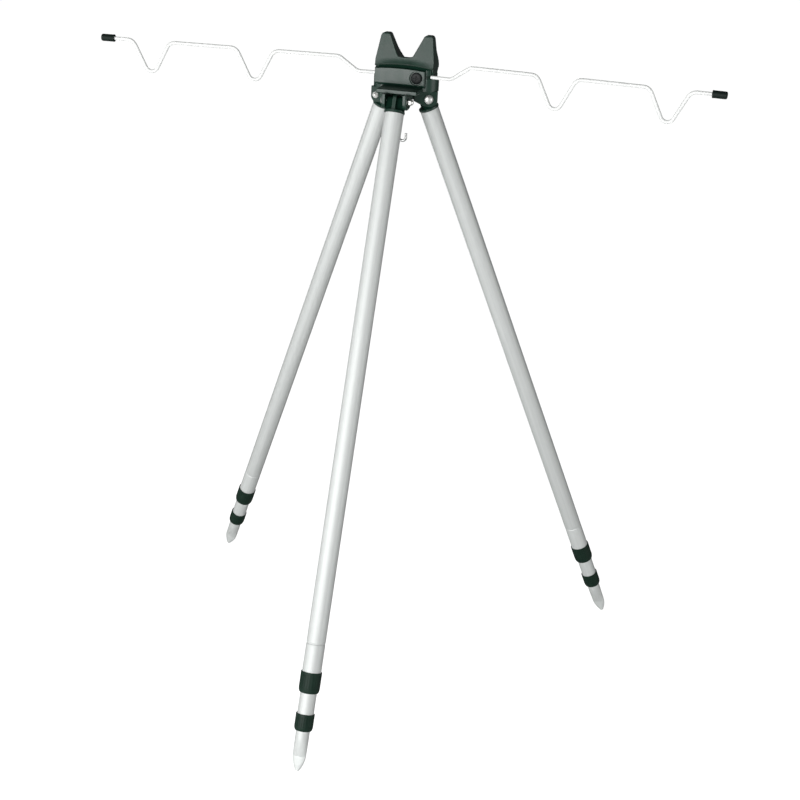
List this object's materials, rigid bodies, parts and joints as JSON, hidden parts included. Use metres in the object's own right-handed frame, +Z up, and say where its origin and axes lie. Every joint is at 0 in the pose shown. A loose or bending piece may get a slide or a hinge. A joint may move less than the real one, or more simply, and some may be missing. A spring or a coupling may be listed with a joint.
{
  "type": "surf rod tripod",
  "caption": "Fishing rod tripod: hinged telescopic legs with twist locks, small moulded head with a V notch, and bent wire arms with dips that hold rods side by side.",
  "frame": {"origin": "on the ground, in the middle of the object's bounding box", "axes": "+Z up, -Y towards the front leg and the face with the clamp plate, +X towards the arm beside the clamp screw"},
  "size_m": [0.7278, 0.484, 0.778],
  "materials": {
    "moulded_green": "satin moulded plastic, dark green",
    "nut_plastic": "ribbed moulded plastic, dark green",
    "anodised_tube": "satin silver anodised",
    "wire_paint": "smooth white coating",
    "cap_vinyl": "dipped soft vinyl",
    "bolt_steel": "bright nickel plate",
    "screw_steel": "blackened",
    "bush_nylon": "natural nylon",
    "hook_steel": "zinc plated"
  },
  "bodies": {
    "head": {"hub": "moulded_green", "fork": "moulded_green", "clamp_plate": "moulded_green", "hinge_bolt_front": "bolt_steel", "hinge_bolt_right": "bolt_steel", "hinge_bolt_left": "bolt_steel", "hinge_nut_front": "bolt_steel", "hinge_nut_right": "bolt_steel", "hinge_nut_left": "bolt_steel", "hook_bush": "bush_nylon"},
    "screw": {"clamp_screw": "screw_steel"},
    "arm_right_body": {"arm_right": "wire_paint", "arm_cap_right": "cap_vinyl", "arm_stop_right": "bolt_steel"},
    "arm_left_body": {"arm_left": "wire_paint", "arm_cap_left": "cap_vinyl", "arm_stop_left": "bolt_steel"},
    "hook_body": {"hook": "hook_steel", "hook_ring": "bolt_steel"},
    "leg_front_body": {"plug_front": "moulded_green", "upper_tube_front": "anodised_tube", "upper_collet_front": "bush_nylon"},
    "upper_nut_front_body": {"upper_nut_front": "nut_plastic"},
    "middle_front_body": {"middle_tube_front": "anodised_tube", "middle_bush_front": "bush_nylon", "lower_collet_front": "bush_nylon"},
    "lower_nut_front_body": {"lower_nut_front": "nut_plastic"},
    "lower_front_body": {"lower_tube_front": "anodised_tube", "lower_bush_front": "bush_nylon"},
    "leg_right_body": {"plug_right": "moulded_green", "upper_tube_right": "anodised_tube", "upper_collet_right": "bush_nylon"},
    "upper_nut_right_body": {"upper_nut_right": "nut_plastic"},
    "middle_right_body": {"middle_tube_right": "anodised_tube", "middle_bush_right": "bush_nylon", "lower_collet_right": "bush_nylon"},
    "lower_nut_right_body": {"lower_nut_right": "nut_plastic"},
    "lower_right_body": {"lower_tube_right": "anodised_tube", "lower_bush_right": "bush_nylon"},
    "leg_left_body": {"plug_left": "moulded_green", "upper_tube_left": "anodised_tube", "upper_collet_left": "bush_nylon"},
    "upper_nut_left_body": {"upper_nut_left": "nut_plastic"},
    "middle_left_body": {"middle_tube_left": "anodised_tube", "middle_bush_left": "bush_nylon", "lower_collet_left": "bush_nylon"},
    "lower_nut_left_body": {"lower_nut_left": "nut_plastic"},
    "lower_left_body": {"lower_tube_left": "anodised_tube", "lower_bush_left": "bush_nylon"}
  },
  "joints": [
    {"name": "clamp_screw_turn", "type": "hinge", "parent": "head", "child": "screw", "pos_m": [0.0156, 0.07696, 0.7312], "axis": [0, 1, 0], "continuous": true},
    {"name": "arm_right_roll", "type": "hinge", "parent": "head", "child": "arm_right_body", "pos_m": [0.034, 0.08326, 0.7333], "axis": [0.9963, -0.0854, 0], "continuous": true},
    {"name": "arm_left_roll", "type": "hinge", "parent": "head", "child": "arm_left_body", "pos_m": [-0.034, 0.08326, 0.7333], "axis": [-0.9963, -0.0854, 0], "continuous": true},
    {"name": "hook_swivel", "type": "hinge", "parent": "head", "child": "hook_body", "pos_m": [0, 0.07996, 0.7043], "axis": [0, 0, 1], "continuous": true},
    {"name": "leg_front_fold", "type": "hinge", "parent": "head", "child": "leg_front_body", "pos_m": [0, 0.05296, 0.7085], "axis": [1, 0, 0], "range_deg": [0, 22.5]},
    {"name": "upper_nut_front_turn", "type": "hinge", "parent": "leg_front_body", "child": "upper_nut_front_body", "pos_m": [0, 0.05296, 0.7085], "axis": [0, -0.3827, -0.9239], "range_deg": [0, 180]},
    {"name": "middle_front_slide", "type": "slide", "parent": "leg_front_body", "child": "middle_front_body", "axis": [0, -0.3827, -0.9239], "range_m": [0, 0.558]},
    {"name": "lower_nut_front_turn", "type": "hinge", "parent": "middle_front_body", "child": "lower_nut_front_body", "pos_m": [0, 0.05296, 0.7085], "axis": [0, -0.3827, -0.9239], "range_deg": [0, 180]},
    {"name": "lower_front_slide", "type": "slide", "parent": "middle_front_body", "child": "lower_front_body", "axis": [0, -0.3827, -0.9239], "range_m": [0, 0.577]},
    {"name": "leg_right_fold", "type": "hinge", "parent": "head", "child": "leg_right_body", "pos_m": [0.02338, 0.09346, 0.7085], "axis": [-0.5, 0.866, 0], "range_deg": [0, 22.5]},
    {"name": "upper_nut_right_turn", "type": "hinge", "parent": "leg_right_body", "child": "upper_nut_right_body", "pos_m": [0.02338, 0.09346, 0.7085], "axis": [0.3314, 0.1913, -0.9239], "range_deg": [0, 180]},
    {"name": "middle_right_slide", "type": "slide", "parent": "leg_right_body", "child": "middle_right_body", "axis": [0.3314, 0.1913, -0.9239], "range_m": [0, 0.558]},
    {"name": "lower_nut_right_turn", "type": "hinge", "parent": "middle_right_body", "child": "lower_nut_right_body", "pos_m": [0.02338, 0.09346, 0.7085], "axis": [0.3314, 0.1913, -0.9239], "range_deg": [0, 180]},
    {"name": "lower_right_slide", "type": "slide", "parent": "middle_right_body", "child": "lower_right_body", "axis": [0.3314, 0.1913, -0.9239], "range_m": [0, 0.577]},
    {"name": "leg_left_fold", "type": "hinge", "parent": "head", "child": "leg_left_body", "pos_m": [-0.02338, 0.09346, 0.7085], "axis": [-0.5, -0.866, 0], "range_deg": [0, 22.5]},
    {"name": "upper_nut_left_turn", "type": "hinge", "parent": "leg_left_body", "child": "upper_nut_left_body", "pos_m": [-0.02338, 0.09346, 0.7085], "axis": [-0.3314, 0.1913, -0.9239], "range_deg": [0, 180]},
    {"name": "middle_left_slide", "type": "slide", "parent": "leg_left_body", "child": "middle_left_body", "axis": [-0.3314, 0.1913, -0.9239], "range_m": [0, 0.558]},
    {"name": "lower_nut_left_turn", "type": "hinge", "parent": "middle_left_body", "child": "lower_nut_left_body", "pos_m": [-0.02338, 0.09346, 0.7085], "axis": [-0.3314, 0.1913, -0.9239], "range_deg": [0, 180]},
    {"name": "lower_left_slide", "type": "slide", "parent": "middle_left_body", "child": "lower_left_body", "axis": [-0.3314, 0.1913, -0.9239], "range_m": [0, 0.577]}
  ]
}
